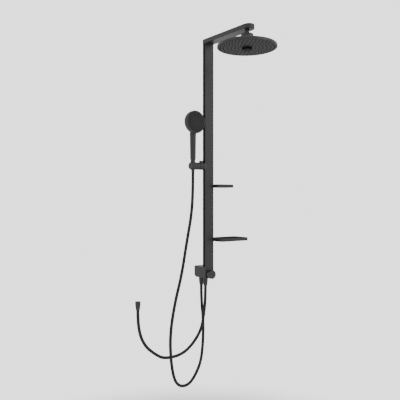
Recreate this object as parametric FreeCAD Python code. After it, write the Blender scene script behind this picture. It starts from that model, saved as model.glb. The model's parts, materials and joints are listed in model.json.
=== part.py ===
# Rainfall shower column: a flat aluminium profile on two wall brackets, with an overhead
# rain head on a ball joint, a handset in a sliding holder, two sliding trays, a diverter
# and two flexible hoses. Millimetres, +Z up, the wall is the plane Y = 0, the object
# stands out of it along -Y. The origin is the centre of the lower wall plate's back face.
import FreeCAD, Part
import math
import os

os.makedirs("parts", exist_ok=True)
V = FreeCAD.Vector

# ---------------------------------------------------------------- driving dimensions
PROFILE_W, PROFILE_D = 50.0, 20.0        # column and arm section
WALL_GAP = 65.0                          # wall to the back of the column
COL_X = PROFILE_W / 2
COL_BACK, COL_FRONT = -WALL_GAP, -WALL_GAP - PROFILE_D
COL_MID = (COL_BACK + COL_FRONT) / 2     # centre plane of the column's depth
BLOCK_H = 53.0                           # diverter block height
BLOCK_TOP, BLOCK_BOTTOM = BLOCK_H / 2, -BLOCK_H / 2
ARM_TOP = 1094.5
ARM_BOTTOM = ARM_TOP - PROFILE_D
ARM_MID = (ARM_TOP + ARM_BOTTOM) / 2
ARM_END_Y = -354.0                       # centre of the arm's half-round end
NECK_Y = -344.0                          # axis of the overhead head
BRACKET_Z = 698.0                        # upper wall bracket
EDGE = 1.5                               # small edge rounding

GROOVE_MOUTH, GROOVE_CHAMBER = 7.0, 8.2  # half widths of the side groove
SHOE_NECK, SHOE_FOOT = 6.7, 7.9          # half widths of what slides in it
GROOVE_LIP, GROOVE_DEPTH = 3.0, 7.0      # lip thickness and whole depth
FOOT_IN, FOOT_OUT = 18.4, 21.7           # where a sliding foot lies, across the groove
CAVITY_X, CAVITY_Y = 15.5, 7.5           # half sizes of the column's inner channel
PIPE_R, PIPE_BORE = 6.0, 4.5
SKIN = 2.0                               # arm wall thickness

HOLDER_X, HOLDER_Z = -90.0, 497.5        # axis of the handset cone
HOLDER_R = 17.0
HANDLE_END_Z = 524.5
DISC_Z, DISC_R = 698.0, 52.0             # handset spray disc

BALL_Z, BALL_R = 1040.0, 13.0
HEAD_R = 130.0
HEAD_UNDER = 996.0
BOSS_R, BOSS_H = 22.0, 9.0               # round boss in the middle of the spray face

HOSE_R = 7.0
NUT_R, NUT_TAIL_R, THREAD_R = 12.0, 8.6, 10.5
NUT_LEN, THREAD_LEN, SEAT_END = 37.0, 9.0, 13.5   # depths from the nut's open end
SEAT_R, WASHER_R, WASHER_T = 9.8, 9.6, 2.0        # washer seat below the thread
SEAT_PLAY = 0.2                                   # free thread left above the washer
INLET_Y, OUTLET_Y = -54.0, -22.0         # the two connections under the block
NUT_TOP = BLOCK_BOTTOM - 2.5
NUT_BOTTOM = NUT_TOP - NUT_LEN
HOSE_TOP = NUT_BOTTOM - 2.0
SUPPLY_END = V(-372, -54, -138)          # lower end of the supply hose's free nut

X, Y, Z = V(1, 0, 0), V(0, 1, 0), V(0, 0, 1)


# ---------------------------------------------------------------- helpers
def box(x0, x1, y0, y1, z0, z1):
    return Part.makeBox(x1 - x0, y1 - y0, z1 - z0, V(x0, y0, z0))


def cyl(x, y, z, axis, radius, length):
    return Part.makeCylinder(radius, length, V(x, y, z), axis)


def cone(x, y, z, axis, r0, r1, length):
    return Part.makeCone(r0, r1, length, V(x, y, z), axis)


def round_edges(shape, radius, wanted):
    """Fillet the edges for which wanted(edge centre, edge direction or None) is true."""
    picked = []
    for edge in shape.Edges:
        ends = [vertex.Point for vertex in edge.Vertexes]
        straight = edge.Curve.TypeId == "Part::GeomLine"
        direction = (ends[1] - ends[0]).normalize() if straight else None
        if wanted(edge.CenterOfMass, direction):
            picked.append(edge)
    return shape.makeFillet(radius, picked)


def along(direction, axis):
    return direction is not None and abs(direction.dot(axis)) > 0.999


def revolve(points, at, axis):
    """Turn an outline of (radius, height) points about an axis through `at`."""
    wire = Part.makePolygon([V(r, 0, h) for r, h in points + points[:1]])
    solid = Part.Face(wire).revolve(V(0, 0, 0), Z, 360)
    solid.Placement = FreeCAD.Placement(at, FreeCAD.Rotation(Z, axis))
    return solid


def cut(shape, *tools):
    return shape.cut(Part.makeCompound(list(tools)))


def fuse(first, *others):
    return first.multiFuse(list(others)).removeSplitter()


def ring_of_points(radius, count, phase=0.0):
    for i in range(count):
        angle = 2 * math.pi * (i + phase) / count
        yield radius * math.cos(angle), radius * math.sin(angle)


def export(name, *solids):
    shape = solids[0] if len(solids) == 1 else Part.makeCompound(list(solids))
    shape.exportStep("parts/" + name + ".step")


# ---------------------------------------------------------------- column profile
def column_profile():
    body = box(-COL_X, COL_X, COL_FRONT, COL_BACK, BLOCK_TOP, ARM_BOTTOM)
    body = round_edges(body, EDGE, lambda c, d: along(d, Z))
    height = (BLOCK_TOP, ARM_BOTTOM)
    tools = [box(-CAVITY_X, CAVITY_X, COL_MID - CAVITY_Y, COL_MID + CAVITY_Y, *height)]
    for side in (-1, 1):
        mouth = sorted((side * COL_X, side * (COL_X - GROOVE_LIP)))
        chamber = sorted((side * (COL_X - GROOVE_LIP), side * (COL_X - GROOVE_DEPTH)))
        tools.append(box(*mouth, COL_MID - GROOVE_MOUTH, COL_MID + GROOVE_MOUTH, *height))
        tools.append(box(*chamber, COL_MID - GROOVE_CHAMBER, COL_MID + GROOVE_CHAMBER, *height))
    for x, z in profile_screw_places():
        if z < ARM_BOTTOM:
            tools.append(cyl(x, COL_BACK + 1, z, -Y, SCREW_R + 0.1, 5))
    tools.append(cyl(0, COL_BACK + 1, BRACKET_Z, -Y, BOLT_R + 0.2, 5))
    export("column_profile", cut(body, *tools))


# Six equal screws hold the profile to the block, the elbow to the profile and the arm's
# rear cap to the elbow.
SCREW_R, SCREW_HEAD_R, SCREW_LEN = 2.0, 3.6, 8.0
SCREW_X = 10.5
BOLT_R, BOLT_HEAD_R = 3.0, 5.5


def profile_screw_places():
    return [(side * SCREW_X, z) for z in (38.0, 1055.0, ARM_MID) for side in (-1, 1)]


def profile_screws():
    screws = []
    for x, z in profile_screw_places():
        head = cyl(x, COL_BACK + 2, z, -Y, SCREW_HEAD_R, 2)
        socket = cyl(x, COL_BACK + 2.5, z, -Y, 1.4, 1.7)
        shank = cyl(x, COL_BACK, z, -Y, SCREW_R, SCREW_LEN)
        screws.append(cut(fuse(head, shank), socket))
    export("profile_screws", *screws)


def water_pipes():
    low, high = 14.0, 1058.0
    tube = cyl(0, COL_MID, low, Z, PIPE_R, high - low)
    export("column_water_pipe", cut(tube, cyl(0, COL_MID, low, Z, PIPE_BORE, high - low)))
    start, end = -90.0, -334.0
    tube = cyl(0, start, ARM_MID, -Y, PIPE_R, start - end)
    export("arm_water_pipe", cut(tube, cyl(0, start, ARM_MID, -Y, PIPE_BORE, start - end)))


# ---------------------------------------------------------------- arm
def arm_plan(half_width, z0, z1, y_back):
    """A bar with a half-round front end, seen from above."""
    left, right = -half_width, half_width
    tip = V(0, ARM_END_Y - half_width, z0)
    edges = [
        Part.LineSegment(V(left, y_back, z0), V(left, ARM_END_Y, z0)).toShape(),
        Part.Arc(V(left, ARM_END_Y, z0), tip, V(right, ARM_END_Y, z0)).toShape(),
        Part.LineSegment(V(right, ARM_END_Y, z0), V(right, y_back, z0)).toShape(),
        Part.LineSegment(V(right, y_back, z0), V(left, y_back, z0)).toShape(),
    ]
    return Part.Face(Part.Wire(edges)).extrude(V(0, 0, z1 - z0))


def arm():
    body = arm_plan(COL_X, ARM_BOTTOM, ARM_TOP, COL_BACK)
    body = round_edges(body, EDGE, lambda c, d: abs(c.z - ARM_MID) > 9 and c.y < COL_BACK - 1)
    inside = arm_plan(COL_X - SKIN, ARM_BOTTOM + SKIN, ARM_TOP - SKIN, COL_BACK + 1)
    well = box(-14.4, 14.4, COL_MID - 6.9, COL_MID + 6.9, ARM_BOTTOM - 1, ARM_MID)
    outlet = cyl(0, NECK_Y, ARM_BOTTOM - 1, Z, 8.4, 10)
    export("arm_profile", cut(body, inside, well, outlet))
    cap = box(-22.8, 22.8, COL_BACK - 3, COL_BACK, ARM_MID - 7.8, ARM_MID + 7.8)
    holes = [cyl(s * SCREW_X, COL_BACK + 1, ARM_MID, -Y, SCREW_R + 0.1, 5) for s in (-1, 1)]
    export("arm_rear_cap", cut(cap, *holes))


def corner_elbow():
    """Joins column and arm, and turns the water from the column pipe into the arm pipe."""
    leg = box(-14, 14, COL_MID - 6.5, COL_MID + 6.5, 1045, ARM_MID)
    top = box(-14, 14, -98, COL_BACK - 3.2, ARM_MID - 7.7, ARM_MID + 7.7)
    tools = [
        cyl(0, COL_MID, 1044, Z, PIPE_R + 0.05, 15),
        cyl(0, COL_MID, 1058, Z, PIPE_BORE, ARM_MID - 1058),
        cyl(0, COL_MID, ARM_MID, -Y, PIPE_BORE, 30),
        cyl(0, -89, ARM_MID, -Y, PIPE_R + 0.05, 10),
    ]
    tools += [cyl(x, COL_BACK, z, -Y, SCREW_R + 0.05, SCREW_LEN + 1)
              for x, z in profile_screw_places() if z > 500]
    export("corner_elbow", cut(fuse(leg, top), *tools))


def outlet_block():
    block = box(-12, 12, -357, -326, ARM_MID - 7.7, ARM_MID + 7.7)
    tools = [
        cyl(0, -325, ARM_MID, -Y, PIPE_R + 0.05, 9.5),
        cyl(0, -325, ARM_MID, -Y, PIPE_BORE, 19),
        cyl(0, NECK_Y, ARM_BOTTOM, Z, 8.05, ARM_MID + 2 - ARM_BOTTOM),
    ]
    export("arm_outlet_block", cut(block, *tools))


# ---------------------------------------------------------------- wall brackets
PLATE_X, PLATE_Z, PLATE_T = 20.0, 10.0, 8.0
PLATE_HOLE_R, PLATE_HOLE_X = 2.6, 12.0


def countersunk_hole(x, z, front):
    """A hole along Y for a wall screw, with its countersink towards the room."""
    return fuse(cyl(x, 1, z, -Y, PLATE_HOLE_R, 1 - front),
                cone(x, front + 2.6, z, -Y, PLATE_HOLE_R, 5.4, 2.8))


def wall_plates():
    plate = box(-PLATE_X, PLATE_X, -PLATE_T, 0, -PLATE_Z, PLATE_Z)
    plate = round_edges(plate, 3, lambda c, d: along(d, Y))
    holes = [countersunk_hole(s * PLATE_HOLE_X, 0, -PLATE_T) for s in (-1, 1)]
    dimple = cyl(0, -4.5, -PLATE_Z - 1, Z, GRUB_R + 0.1, 2)
    export("lower_wall_plate", cut(plate, dimple, *holes))
    disc = cyl(0, 0, BRACKET_Z, -Y, 18.5, PLATE_T)
    holes = [countersunk_hole(s * PLATE_HOLE_X, BRACKET_Z, -PLATE_T) for s in (-1, 1)]
    dimple = cyl(0, -4.5, BRACKET_Z - 19.5, Z, GRUB_R + 0.1, 2)
    export("upper_wall_plate", cut(disc, dimple, *holes))


GRUB_R, GRUB_LEN = 2.5, 8.0


def grub_screws():
    screws = []
    for z in (-PLATE_Z + 0.8, BRACKET_Z - 17.8):
        body = cyl(0, -4.5, z - GRUB_LEN, Z, GRUB_R, GRUB_LEN)
        screws.append(cut(body, cyl(0, -4.5, z - GRUB_LEN - 1, Z, 1.25, 3.5)))
    export("bracket_grub_screws", *screws)


def bracket_post():
    """Round foot over the upper wall plate, and a stem out to the back of the column."""
    foot = cyl(0, -0.5, BRACKET_Z, -Y, 22.0, 12)
    foot = round_edges(foot, 2, lambda c, d: c.y < -10 and d is None)
    stem = cyl(0, -12, BRACKET_Z, -Y, 10.0, WALL_GAP - 12)
    tools = [
        cyl(0, 0, BRACKET_Z, -Y, 18.8, PLATE_T + 0.4),
        cyl(0, COL_BACK - 1, BRACKET_Z, Y, BOLT_R + 0.05, 17),
        cyl(0, -4.5, BRACKET_Z - 23, Z, GRUB_R + 0.05, 8),
    ]
    export("upper_bracket_post", cut(fuse(foot, stem), *tools))
    head = cyl(0, COL_BACK - 2.5, BRACKET_Z, -Y, BOLT_HEAD_R, 1.2)
    shank = cyl(0, COL_BACK - 2.5, BRACKET_Z, Y, BOLT_R, 16)
    export("upper_bracket_bolt", fuse(head, shank))


# ---------------------------------------------------------------- diverter
KNOB_Z, KNOB_R, KNOB_LEN = -8.5, 20.5, 22.6
NIPPLE_THREAD = 5.5                      # how far a nipple screws into the block
SPINDLE_R = 4.0
CARTRIDGE_R, CARTRIDGE_BACK = 11.4, -42.0


def diverter_body():
    body = box(-COL_X, COL_X, COL_FRONT, -0.5, BLOCK_BOTTOM, BLOCK_TOP)
    body = round_edges(body, 16, lambda c, d: along(d, X) and c.z < 0 and c.y > -1)
    body = round_edges(body, EDGE, lambda c, d: along(d, Z) and c.y < -80)
    spigot = box(-14, 14, COL_MID - 6.5, COL_MID + 6.5, BLOCK_TOP, 46)
    tools = [
        box(-PLATE_X - 0.4, PLATE_X + 0.4, -PLATE_T - 0.4, 0, -PLATE_Z - 0.4, PLATE_Z + 0.4),
        cyl(0, -4.5, -25, Z, GRUB_R + 0.05, 16),
        cyl(0, COL_FRONT - 1, KNOB_Z, Y, 15.05, 7),
        cyl(0, COL_FRONT, KNOB_Z, Y, CARTRIDGE_R + 0.05, CARTRIDGE_BACK - COL_FRONT),
        cyl(0, CARTRIDGE_BACK - 1, KNOB_Z, Y, PIPE_BORE, 24),
        cyl(0, COL_MID, KNOB_Z, Z, PIPE_BORE, 25),
        cyl(0, COL_MID, 13.5, Z, PIPE_R + 0.05, 40),
    ]
    for y in (INLET_Y, OUTLET_Y):
        tools.append(cyl(0, y, BLOCK_BOTTOM - 1, Z, 7.5, NIPPLE_THREAD + 1.5))
        tools.append(cyl(0, y, BLOCK_BOTTOM, Z, PIPE_BORE, KNOB_Z - BLOCK_BOTTOM))
    tools += [cyl(x, COL_BACK, z, -Y, SCREW_R + 0.05, SCREW_LEN + 1)
              for x, z in profile_screw_places() if z < 100]
    export("diverter_body", cut(fuse(body, spigot), *tools))


def cartridge():
    length = CARTRIDGE_BACK - COL_FRONT - 6
    body = cyl(0, CARTRIDGE_BACK, KNOB_Z, -Y, CARTRIDGE_R, length)
    tools = [
        cyl(0, COL_FRONT, KNOB_Z, Y, SPINDLE_R + 0.05, 28),
        cyl(0, COL_FRONT + 28, KNOB_Z, Y, 6.0, 20),
        cyl(0, INLET_Y, KNOB_Z - 14, Z, 3.5, 14),
        cyl(0, COL_MID, KNOB_Z, Z, 3.5, 14),
    ]
    export("diverter_cartridge", cut(body, *tools))
    nut = cyl(0, COL_FRONT + 6, KNOB_Z, -Y, 14.9, 5.5)
    slots = [box(s * 11 - 2, s * 11 + 2, COL_FRONT, COL_FRONT + 2.5, KNOB_Z - 1, KNOB_Z + 1)
             for s in (-1, 1)]
    export("cartridge_nut", cut(nut, cyl(0, COL_FRONT - 1, KNOB_Z, Y, 4.4, 8), *slots))


def knob():
    back = COL_FRONT - 0.4
    body = cyl(0, back, KNOB_Z, -Y, KNOB_R, KNOB_LEN)
    body = round_edges(body, 1.2, lambda c, d: d is None and c.y < back - 1)
    front = back - KNOB_LEN
    tools = [
        cyl(0, back, KNOB_Z, -Y, SPINDLE_R, 15),
        box(-0.8, 0.8, front - 1, front + 6, KNOB_Z + KNOB_R - 1.2, KNOB_Z + KNOB_R + 1),
        cyl(0, back - 6, KNOB_Z - KNOB_R - 1, Z, 1.55, KNOB_R),
    ]
    export("diverter_knob", cut(body, *tools))
    shaft = cyl(0, COL_FRONT + 22, KNOB_Z, -Y, SPINDLE_R, 36)
    flat = box(-5, 5, back - 15, back - 1, KNOB_Z - 5, KNOB_Z - SPINDLE_R + 0.8)
    seat = cyl(0, COL_FRONT + 40, KNOB_Z, -Y, 5.7, 12)
    waist = cyl(0, COL_FRONT + 28.2, KNOB_Z, -Y, SPINDLE_R, 8)
    export("diverter_spindle", cut(fuse(shaft, waist, seat), flat))
    grub = cyl(0, back - 6, KNOB_Z - 12.5, Z, 1.5, 12.5 - SPINDLE_R + 0.8)
    export("knob_grub_screw", cut(grub, cyl(0, back - 6, KNOB_Z - 13, Z, 0.8, 2.5)))


# ---------------------------------------------------------------- hose connections
def nut_outline():
    """Half outline of a conical hose nut, its open threaded end at height 0."""
    bore = HOSE_R + 0.35
    return [
        (THREAD_R, 0), (NUT_R, 0), (NUT_R, -11), (NUT_TAIL_R + 1.6, 12 - NUT_LEN),
        (NUT_TAIL_R, -NUT_LEN), (bore, -NUT_LEN), (bore, -SEAT_END),
        (SEAT_R, -SEAT_END), (SEAT_R, -THREAD_LEN), (THREAD_R, -THREAD_LEN),
    ]


def ferrule(x, y, top, bottom):
    flange = cyl(x, y, top - 2, Z, WASHER_R, 2)
    sleeve = cyl(x, y, bottom, Z, HOSE_R, top - 1 - bottom)
    return cut(fuse(flange, sleeve), cyl(x, y, bottom - 1, Z, 4.0, top - bottom + 2))


def washer(x, y, top, radius=WASHER_R):
    return cut(cyl(x, y, top - WASHER_T, Z, radius, WASHER_T), cyl(x, y, top - 5, Z, 5.0, 6))


def connections():
    x, y_end, z_end = SUPPLY_END
    top = z_end + NUT_LEN + 2
    seat = top - THREAD_LEN - SEAT_PLAY
    nuts, nipples, ferrules = [], [], []
    washers = [washer(x, y_end, seat)]
    for y in (INLET_Y, OUTLET_Y):
        nuts.append(revolve(nut_outline(), V(0, y, NUT_TOP), Z))
        nipple = fuse(
            cyl(0, y, BLOCK_BOTTOM, Z, 7.45, NIPPLE_THREAD),
            cyl(0, y, BLOCK_BOTTOM - 2, Z, 11.5, 2),
            cyl(0, y, NUT_TOP - THREAD_LEN, Z, THREAD_R - 0.1, THREAD_LEN + 1),
        )
        nipples.append(cut(nipple, cyl(0, y, NUT_TOP - 10, Z, PIPE_BORE, 25)))
        washers.append(washer(0, y, NUT_TOP - THREAD_LEN))
        ferrules.append(ferrule(0, y, NUT_TOP - THREAD_LEN - WASHER_T, HOSE_TOP))
    export("block_hose_nuts", *nuts)
    export("block_nipples", *nipples)
    export("hose_washers", *washers)
    export("block_hose_ferrules", *ferrules)
    export("supply_nut", revolve(nut_outline(), V(x, y_end, top), Z))
    export("supply_ferrule", ferrule(x, y_end, seat - WASHER_T, z_end))


# ---------------------------------------------------------------- hoses
HANDSET_ROUTE = [
    (0, -22, HOSE_TOP), (0, -22, -140), (10, -25, -235), (5, -30, -330), (-15, -40, -425),
    (-55, -45, -485), (-100, -55, -515), (-155, -65, -510), (-195, -75, -470),
    (-220, -85, -380), (-225, -85, -260), (-200, -85, -125), (-160, -85, 5),
    (-130, -80, 145), (-100, -80, 280), (-90, -75, 400), (-90, -75, 472),
]
SUPPLY_ROUTE = [
    (0, -54, HOSE_TOP), (0, -54, -130), (-10, -55, -200), (-25, -55, -270), (-80, -55, -335),
    (-145, -55, -370), (-235, -55, -370), (-280, -55, -345), (-340, -55, -295),
    (-372, -54, -215), tuple(SUPPLY_END),
]


def hose(name, route):
    """A round tube along straight runs and the largest tangent arcs the runs allow."""
    points = [V(*p) for p in route]
    edges, radii, here = [], [], points[0]
    for before, corner, after in zip(points, points[1:], points[2:]):
        into, out = corner - before, after - corner
        turn = into.getAngle(out)
        reach = 0.45 * min(into.Length, out.Length)
        radius = reach / math.tan(turn / 2)
        into.normalize()
        out.normalize()
        start, end = corner - into * reach, corner + out * reach
        towards = (out - into).normalize()
        middle = corner + towards * (radius / math.cos(turn / 2) - radius)
        edges.append(Part.LineSegment(here, start).toShape())
        edges.append(Part.Arc(start, middle, end).toShape())
        radii.append(round(radius))
        here = end
    edges.append(Part.LineSegment(here, points[-1]).toShape())
    path = Part.Wire(edges)
    ring = Part.Wire(Part.Circle(points[0], points[1] - points[0], HOSE_R).toShape())
    tube = path.makePipeShell([ring], True, True)
    volume = math.pi * HOSE_R ** 2 * path.Length
    print(name, "length", round(path.Length), "volume ratio", round(tube.Volume / volume, 4))
    print("  radii", radii)
    export(name, tube)


# ---------------------------------------------------------------- slider and cup
SLIDER_OUT, SLIDER_IN = -56.0, -26.4     # ends of the slider body along X
CUP_IN, CUP_OUT = -57.5, -104.0
BUTTON_X, BUTTON_R = -43.0, 9.0
PIVOT_R, PIVOT_DEPTH = 4.0, 3.4            # pivot pin and how far it enters the slider


def slider():
    body = cyl(SLIDER_IN, COL_MID, HOLDER_Z, -X, HOLDER_R, SLIDER_IN - SLIDER_OUT)
    tools = [
        cyl(BUTTON_X, COL_MID, HOLDER_Z - 9.5, Z, BUTTON_R + 0.3, 30),
        cyl(SLIDER_OUT - 1, COL_MID, HOLDER_Z, X, PIVOT_R, PIVOT_DEPTH + 1),
    ]
    tools += [cyl(-36, COL_MID, z, X, 1.6, 12) for z in shoe_screw_heights()]
    export("slider_housing", cut(body, *tools))
    pad = cyl(SLIDER_IN, COL_MID, HOLDER_Z, X, HOLDER_R - 0.6, 1.0)
    half_h, opening = 15.0, SHOE_NECK + 0.1
    low, high = HOLDER_Z - half_h, HOLDER_Z + half_h
    window = box(-27, -25, COL_MID - opening, COL_MID + opening, low - 0.2, high + 0.2)
    export("slider_glide_pad", cut(pad, window))
    neck = box(SLIDER_IN, -FOOT_OUT, COL_MID - SHOE_NECK, COL_MID + SHOE_NECK, low, high)
    foot = box(-FOOT_OUT, -FOOT_IN, COL_MID - SHOE_FOOT, COL_MID + SHOE_FOOT, low, high)
    holes = [cyl(-30, COL_MID, z, X, 1.55, 13) for z in shoe_screw_heights()]
    export("slider_shoe", cut(fuse(neck, foot), *holes))
    export("slider_shoe_screws", *[cyl(-32, COL_MID, z, X, 1.5, 12) for z in shoe_screw_heights()])
    export("holder_pivot_pin", cyl(SLIDER_OUT + PIVOT_DEPTH, COL_MID, HOLDER_Z, -X, PIVOT_R, 23))
    ring = cyl(SLIDER_OUT, COL_MID, HOLDER_Z, -X, HOLDER_R - 1, 1.2)
    export("holder_friction_washer", cut(ring, cyl(-60, COL_MID, HOLDER_Z, X, PIVOT_R, 10)))


def shoe_screw_heights():
    return [HOLDER_Z - 12, HOLDER_Z + 12]


def release_button():
    top = HOLDER_Z + HOLDER_R + 8.5
    bottom = top - 20
    body = cyl(BUTTON_X, COL_MID, bottom, Z, BUTTON_R, top - bottom)
    body = round_edges(body, 1.2, lambda c, d: d is None and c.z > top - 1)
    export("slider_release_button", body)
    floor = HOLDER_Z - 9.3
    coil = cut(cyl(BUTTON_X, COL_MID, floor, Z, 5.5, bottom - floor - 0.1),
               cyl(BUTTON_X, COL_MID, floor, Z, 4.3, bottom - floor))
    export("slider_button_spring", coil)


CONE_TOP, CONE_BOTTOM = 516.0, 474.0
CONE_R0, CONE_R1 = 11.0, 8.4


def holder_cup():
    body = cyl(CUP_IN, COL_MID, HOLDER_Z, -X, HOLDER_R, CUP_IN - CUP_OUT - 3)
    gap = 0.35
    slope = (CONE_R0 - CONE_R1) / (CONE_TOP - CONE_BOTTOM)
    low, high = HOLDER_Z - HOLDER_R - 1, HOLDER_Z + HOLDER_R + 1
    r_low = CONE_R1 + (low - CONE_BOTTOM) * slope + gap
    r_high = CONE_R1 + (high - CONE_BOTTOM) * slope + gap
    tools = [
        cone(HOLDER_X, COL_MID, low, Z, r_low, r_high, high - low),
        box(HOLDER_X - 7.6, HOLDER_X + 7.6, COL_MID, COL_MID + 20, low, high),
        cyl(CUP_IN + 1, COL_MID, HOLDER_Z, -X, PIVOT_R + 0.05, 20.5),
    ]
    export("holder_cup", cut(body, *tools))
    cap = cyl(CUP_OUT + 3, COL_MID, HOLDER_Z, -X, HOLDER_R, 3)
    cap = round_edges(cap, 1.0, lambda c, d: d is None and c.x < CUP_OUT + 1)
    well = cone(HOLDER_X, COL_MID, low, Z, r_low, r_high, high - low)
    export("holder_end_cap", cut(cap, well))


def handset_nut():
    outline = [
        (9.98, 522), (CONE_R0, 522), (CONE_R0, CONE_TOP), (CONE_R1, CONE_BOTTOM),
        (HOSE_R + 0.1, CONE_BOTTOM), (HOSE_R + 0.1, 508), (9.98, 508),
    ]
    at = V(HOLDER_X, COL_MID, 0)
    export("handset_hose_nut", revolve(outline, at, Z))
    export("handset_hose_washer", washer(HOLDER_X, COL_MID, 513, 9.7))
    flange = cyl(HOLDER_X, COL_MID, 509, Z, 9.7, 2)
    sleeve = cyl(HOLDER_X, COL_MID, 472, Z, HOSE_R, 37)
    export("handset_hose_ferrule", cut(fuse(flange, sleeve), cyl(HOLDER_X, COL_MID, 471, Z, 4, 42)))


# ---------------------------------------------------------------- handset
SPRAY_RINGS = [(28, 18), (35, 24), (42, 30)]


def handset_shell():
    at = V(HOLDER_X, 0, DISC_Z)
    handle = cone(HOLDER_X, COL_MID, HANDLE_END_Z, Z, 13.0, 15.0, DISC_Z - DISC_R - HANDLE_END_Z)
    shoulder = Part.makeSphere(15.0, V(HOLDER_X, COL_MID, DISC_Z - DISC_R))
    # Heights are measured out of the wall, so the outline turns about -Y.
    dome = revolve([(0, 66), (24, 66.6), (38, 68.5), (46.5, 72), (50.8, 77), (DISC_R, 83),
                    (DISC_R, 94), (0, 94)], at, -Y)
    hollow = revolve([(0, 68.5), (23, 69.1), (37, 71), (44.8, 74.2), (48.5, 78.5), (49.4, 83.5),
                      (49.4, 94), (0, 94)], at, -Y)
    bore = cyl(HOLDER_X, COL_MID, HANDLE_END_Z - 1, Z, 9.5, 150)
    export("handset_shell", cut(fuse(handle, shoulder, dome), hollow, bore))


def handset_front():
    at = V(HOLDER_X, 0, DISC_Z)
    bezel = revolve([(47, 94), (DISC_R, 94), (DISC_R, 97.5), (51.4, 99), (50, 99.6),
                     (47.5, 99.6), (47, 99.2)], at, -Y)
    export("handset_bezel", bezel)
    plate = cyl(HOLDER_X, -97, DISC_Z, -Y, 46.9, 2)
    mat = cyl(HOLDER_X, -94.5, DISC_Z, -Y, 46.5, 2.4)
    holes, tips = [], []
    for radius, count in SPRAY_RINGS:
        for dx, dz in ring_of_points(radius, count):
            holes.append(cyl(HOLDER_X + dx, -96, DISC_Z + dz, -Y, 1.2, 4))
            tips.append(cone(HOLDER_X + dx, -96, DISC_Z + dz, -Y, 1.05, 0.8, 4))
    export("handset_face_plate", cut(plate, *holes))
    export("handset_nozzle_mat", fuse(mat, *tips))


def handset_inlet():
    """Threaded stub at the handle's end and the tube that feeds the spray chamber."""
    body = fuse(
        cyl(HOLDER_X, COL_MID, 513, Z, 9.9, 11.5),
        cyl(HOLDER_X, COL_MID, HANDLE_END_Z, Z, 9.4, 16),
        cyl(HOLDER_X, COL_MID, HANDLE_END_Z + 10, Z, 6.5, 108),
    )
    export("handset_inlet_tube", cut(body, cyl(HOLDER_X, COL_MID, 512, Z, PIPE_BORE, 140)))


# ---------------------------------------------------------------- overhead rain head
NOZZLE_RINGS = [(38, 14), (54, 20), (70, 26), (86, 32), (102, 38), (117, 44)]


def neck():
    body = fuse(
        cyl(0, NECK_Y, ARM_BOTTOM - 1, Z, 8.0, 10.5),
        cyl(0, NECK_Y, 1060, Z, 9.5, ARM_BOTTOM - 0.3 - 1060),
        cyl(0, NECK_Y, BALL_Z, Z, 7.5, 1061 - BALL_Z),
        Part.makeSphere(BALL_R, V(0, NECK_Y, BALL_Z)),
    )
    export("neck_ball", cut(body, cyl(0, NECK_Y, BALL_Z - 20, Z, PIPE_BORE, 80)))


def sphere_at_head(radius):
    return Part.makeSphere(radius, V(0, NECK_Y, BALL_Z))


def seat_ring():
    band = cyl(0, NECK_Y, BALL_Z - 8, Z, 20, 16).common(sphere_at_head(16.0))
    export("ball_seat_ring", band.cut(sphere_at_head(BALL_R + 0.3)))


def swivel_housing():
    """The round cap that traps the ball, with an opening for the neck to tilt in."""
    low, high = 1026.0, 1056.5
    body = cyl(0, NECK_Y, low, Z, 27, high - low)
    body = round_edges(body, 3, lambda c, d: d is None and c.z > high - 1)
    tools = [
        sphere_at_head(16.3),
        cyl(0, NECK_Y, low - 1, Z, 16.3, BALL_Z - low + 1),
        cone(0, NECK_Y, BALL_Z + 9, Z, 12.0, 13.5, high - BALL_Z - 8),
    ]
    tools += [cyl(x, NECK_Y + y, low - 1, Z, 1.85, 11) for x, y in ring_of_points(21.6, 4, 0.5)]
    housing = body
    for tool in tools:
        housing = housing.cut(tool)
    export("swivel_housing", housing)
    screws = []
    for x, y in ring_of_points(21.6, 4, 0.5):
        head = cyl(x, NECK_Y + y, 1018.0, Z, 3.2, 2)
        screws.append(fuse(head, cyl(x, NECK_Y + y, 1019, Z, 1.8, 16)))
    export("head_screws", *screws)
    seal = cyl(0, NECK_Y, 1024.5, Z, 16.0, 1.5)
    export("head_seal", seal.cut(cyl(0, NECK_Y, 1024, Z, 12.0, 3)))


def head_shell():
    r = HEAD_R
    outer = [(0, 1026), (29, 1026), (31, 1024), (33, 1021.5), (r - 12, 1012.5), (r - 4, 1011),
             (r - 1, 1008.5), (r, 1005.5), (r, 998.5), (r - 1, 997)]
    inner = [(r - 2.2, 997), (r - 2.2, 1005), (r - 3.5, 1007.5), (r - 5.5, 1009),
             (r - 13, 1010.2), (34, 1019), (28, 1020), (0, 1020)]
    shell = revolve(outer + inner, V(0, NECK_Y, 0), Z)
    tools = [cyl(0, NECK_Y, 1015, Z, 9.0, 15), cyl(0, NECK_Y, 1024.5, Z, 16.1, 3)]
    tools += [cyl(x, NECK_Y + y, 1015, Z, 1.9, 15) for x, y in ring_of_points(21.6, 4, 0.5)]
    export("head_top_shell", cut(shell, *tools))


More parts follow.
